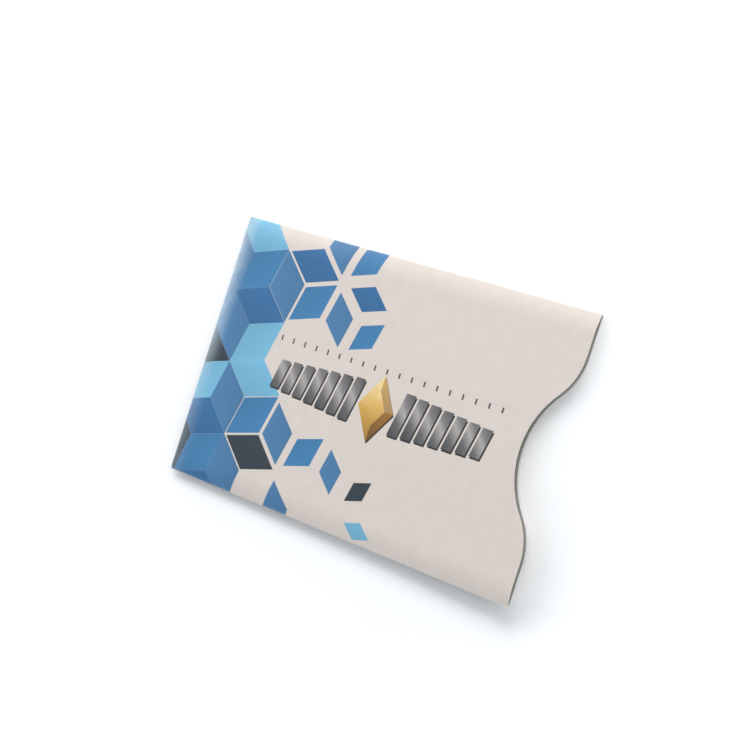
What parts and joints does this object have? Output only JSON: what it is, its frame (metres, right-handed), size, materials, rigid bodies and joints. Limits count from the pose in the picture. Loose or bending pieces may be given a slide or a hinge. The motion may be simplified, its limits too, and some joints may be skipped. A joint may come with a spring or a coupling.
{
  "type": "rfid card sleeve",
  "caption": "Flat pocket of foil-lined printed board for a bank card, closed on three sides by folds and glued flaps, with a thumb notch cut in its open short end.",
  "frame": {"origin": "middle of the back face, which the sleeve lies on, centred on its length and width", "axes": "+X runs along the length to the mouth with the thumb notch, +Y points to the folded spine side, +Z rises out of the printed front"},
  "size_m": [0.091, 0.061, 0.002],
  "materials": {
    "printed_board": null,
    "printed_edge": "satin coated board, printed blue at the closed end",
    "flap_board": "satin coated board, unprinted",
    "foil": "matt side of laminated foil",
    "glue": "dried dispersion glue, pressed flat"
  },
  "bodies": {
    "root": {"front_panel": "printed_board", "spine_margin": "printed_board", "seam_margin": "printed_board", "end_margin": "printed_edge", "spine_fold": "printed_board", "seam_fold": "printed_board", "end_fold": "printed_edge", "back_panel": "printed_board", "seam_flap": "flap_board", "end_flap": "flap_board", "front_foil": "foil", "spine_margin_foil": "foil", "seam_margin_foil": "foil", "end_margin_foil": "foil", "spine_fold_foil": "foil", "seam_fold_foil": "foil", "end_fold_foil": "foil", "back_foil": "foil", "seam_flap_foil": "foil", "end_flap_foil": "foil", "seam_glue": "glue", "end_glue": "glue"}
  },
  "joints": []
}
